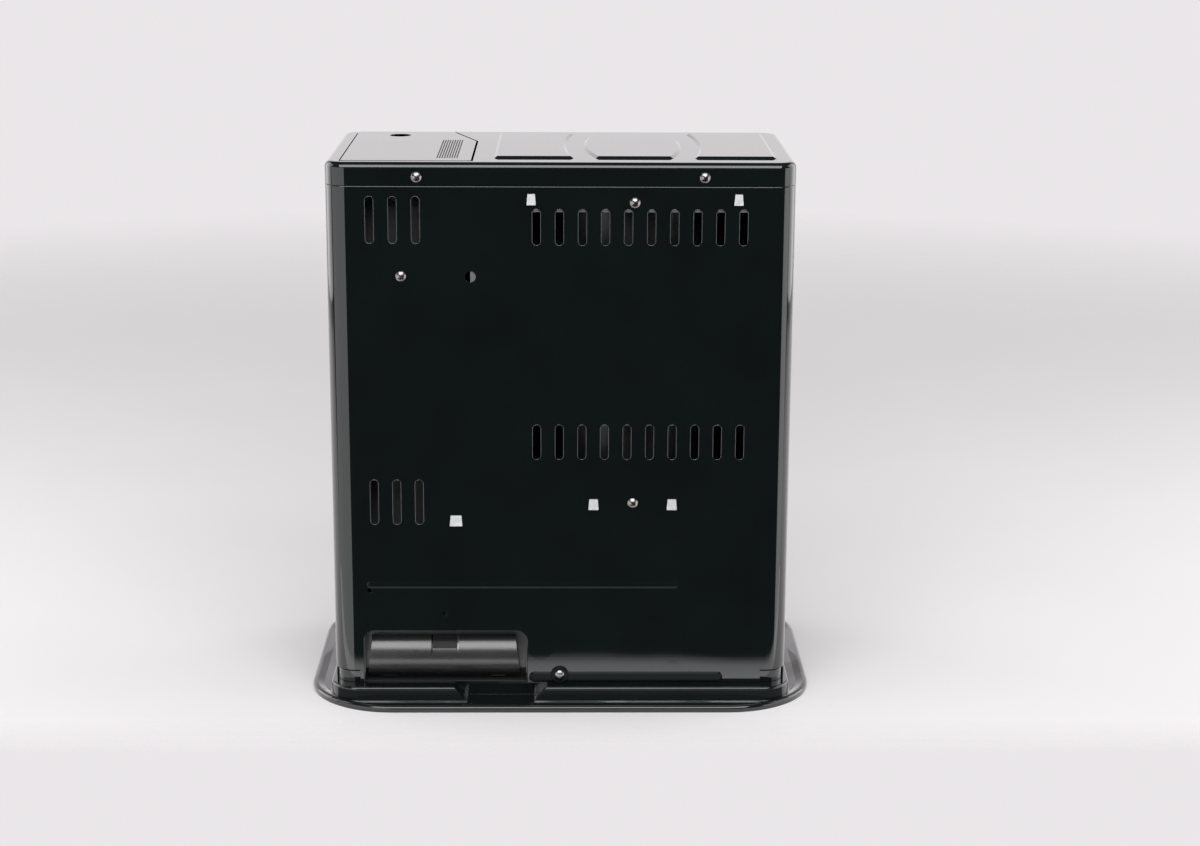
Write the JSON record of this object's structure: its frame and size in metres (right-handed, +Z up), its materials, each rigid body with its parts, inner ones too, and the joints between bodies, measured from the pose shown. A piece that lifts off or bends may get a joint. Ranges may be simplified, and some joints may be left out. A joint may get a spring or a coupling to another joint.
{
  "type": "paraffin heater",
  "caption": "Free-standing wick-type radiant paraffin heater: black casing on a tray, guarded burner, lift-out fuel tank under a lid, knob, levers and battery compartment.",
  "frame": {"origin": "middle of the base tray's footprint, on the floor", "axes": "+X to the right as seen from the front, +Y to the back, +Z up"},
  "size_m": [0.432, 0.29, 0.4646],
  "materials": {
    "enamel_black": "gloss black enamel",
    "tray_black": "gloss black enamel",
    "zinc_steel": "zinc-plated, bright",
    "bright_reflector": "polished",
    "grey_tank": "satin grey",
    "cartridge_paint": "satin silver grey",
    "steel_wire": "bright plated",
    "plated_steel": "plated",
    "black_plastic": "satin moulded",
    "case_plastic": "matt moulded",
    "control_plastic": "gloss moulded",
    "red_plastic": "gloss moulded",
    "clear_window": "clear",
    "burner_glass": "clear heat-proof",
    "flame_steel": "heat-tinted stainless",
    "wick_fibre": "woven glass fibre",
    "rubber_black": "matt",
    "brass_part": "bright",
    "cell_wrap": "printed sleeve, plain",
    "glow_wire": "bare wire",
    "cap_plastic": "satin moulded"
  },
  "bodies": {
    "heater": {"base_tray": "tray_black", "rear_side_casing": "enamel_black", "front_frame": "enamel_black", "top_plate": "enamel_black", "lid_hinge_pin": "plated_steel", "upper_heat_shield": "zinc_steel", "burner_deck": "zinc_steel", "reflector": "bright_reflector", "tank_bay_partition": "zinc_steel", "tank_guide": "zinc_steel", "chassis_plate": "zinc_steel", "fixed_tank": "grey_tank", "tank_receiver": "grey_tank", "fuel_strainer": "brass_part", "draft_tube": "flame_steel", "wick_tube": "zinc_steel", "burner_seat": "flame_steel", "return_spring": "plated_steel", "mechanism_bracket": "zinc_steel", "control_panel": "black_plastic", "gauge_window": "clear_window", "release_lever_pin": "plated_steel", "lever_bearings": "zinc_steel", "trip_seat": "zinc_steel", "battery_case": "case_plastic", "battery_cells": "cell_wrap", "battery_contacts": "brass_part", "hand_grips": "black_plastic", "screws_and_nuts": "plated_steel"},
    "lid": {"tank_lid": "enamel_black"},
    "tank": {"cartridge_tank": "cartridge_paint"},
    "handle": {"tank_handle": "steel_wire"},
    "cap": {"tank_cap": "cap_plastic", "cap_gasket": "rubber_black"},
    "valve": {"cap_valve": "brass_part"},
    "knob": {"wick_shaft": "plated_steel", "wick_pinion": "brass_part", "ratchet_wheel": "plated_steel", "wick_knob": "control_plastic"},
    "wick_group": {"wick": "wick_fibre", "wick_sleeve": "zinc_steel"},
    "button": {"extinguish_button": "red_plastic", "button_stem": "plated_steel"},
    "release": {"release_lever": "plated_steel"},
    "igniter": {"ignition_lever": "plated_steel", "lever_finger_cap": "control_plastic", "igniter_holder": "cap_plastic", "igniter_coil": "glow_wire"},
    "trip": {"trip_weight": "plated_steel"},
    "burner": {"burner_base": "flame_steel", "outer_flame_tube": "flame_steel", "inner_flame_tube": "flame_steel", "flame_tube_pins": "plated_steel", "glass_chimney": "burner_glass", "burner_top_ring": "flame_steel", "flame_spreader": "flame_steel", "burner_handle": "steel_wire"},
    "guard": {"guard_grille": "steel_wire"},
    "cover": {"battery_cover": "case_plastic"},
    "gauge": {"gauge_float": "red_plastic"}
  },
  "joints": [
    {"name": "lid_hinge", "type": "hinge", "parent": "heater", "child": "lid", "pos_m": [0.127, 0.1025, 0.46], "axis": [-1, 0, 0], "range_deg": [0, 95]},
    {"name": "tank_lift", "type": "slide", "parent": "heater", "child": "tank", "axis": [0, 0, 1], "range_m": [0, 0.134]},
    {"name": "handle_hinge", "type": "hinge", "parent": "tank", "child": "handle", "pos_m": [0.127, 0.02, 0.429], "axis": [-1, 0, 0], "range_deg": [0, 90]},
    {"name": "cap_turn", "type": "hinge", "parent": "tank", "child": "cap", "pos_m": [0.127, -0.006, 0.104], "axis": [0, 0, 1], "range_deg": [0, 90]},
    {"name": "valve_drop", "type": "slide", "parent": "cap", "child": "valve", "axis": [0, 0, -1], "range_m": [0, 0.0041]},
    {"name": "knob_turn", "type": "hinge", "parent": "heater", "child": "knob", "pos_m": [-0.0137, -0.06, 0.088], "axis": [0, 1, 0], "range_deg": [0, 95]},
    {"name": "wick_rise", "type": "slide", "parent": "heater", "child": "wick_group", "axis": [0, 0, 1], "range_m": [0, 0.0119]},
    {"name": "button_press", "type": "slide", "parent": "heater", "child": "button", "axis": [0, 1, 0], "range_m": [0, 0.006], "stiffness_N_per_m": 300, "springref_m": -0.003},
    {"name": "release_swing", "type": "hinge", "parent": "heater", "child": "release", "pos_m": [0.058, -0.0608, 0.088], "axis": [0, 0, 1], "range_deg": [0, 12]},
    {"name": "igniter_press", "type": "hinge", "parent": "heater", "child": "igniter", "pos_m": [0, -0.068, 0.146], "axis": [1, 0, 0], "range_deg": [0, 22.5], "stiffness_Nm_per_rad": 0.3, "springref_deg": -17.19},
    {"name": "trip_lean", "type": "hinge", "parent": "heater", "child": "trip", "pos_m": [-0.132, -0.04, 0.0641], "axis": [0, 1, 0], "range_deg": [-6, 6], "stiffness_Nm_per_rad": 0.08},
    {"name": "burner_turn", "type": "hinge", "parent": "heater", "child": "burner", "pos_m": [-0.0606, 0.011, 0.155], "axis": [0, 0, 1], "range_deg": [-8, 8]},
    {"name": "guard_swing", "type": "hinge", "parent": "heater", "child": "guard", "pos_m": [-0.168, -0.086, 0.301], "axis": [0, 0, -1], "range_deg": [0, 95]},
    {"name": "cover_hinge", "type": "hinge", "parent": "heater", "child": "cover", "pos_m": [0.097, 0.10481, 0.02032], "axis": [-1, 0, 0], "range_deg": [0, 50]},
    {"name": "gauge_rise", "type": "slide", "parent": "heater", "child": "gauge", "axis": [0, 0, 1], "range_m": [0, 0.016]}
  ],
  "couplings": [
    {"joint": "tank_lift", "follows": "lid_hinge", "m_per_rad": 0.08},
    {"joint": "handle_hinge", "follows": "lid_hinge", "ratio": 0.94},
    {"joint": "valve_drop", "follows": "lid_hinge", "m_per_rad": 0.00241},
    {"joint": "knob_turn", "follows": "wick_rise", "rad_per_m": 138.89},
    {"joint": "release_swing", "follows": "button_press", "rad_per_m": 34.6}
  ]
}
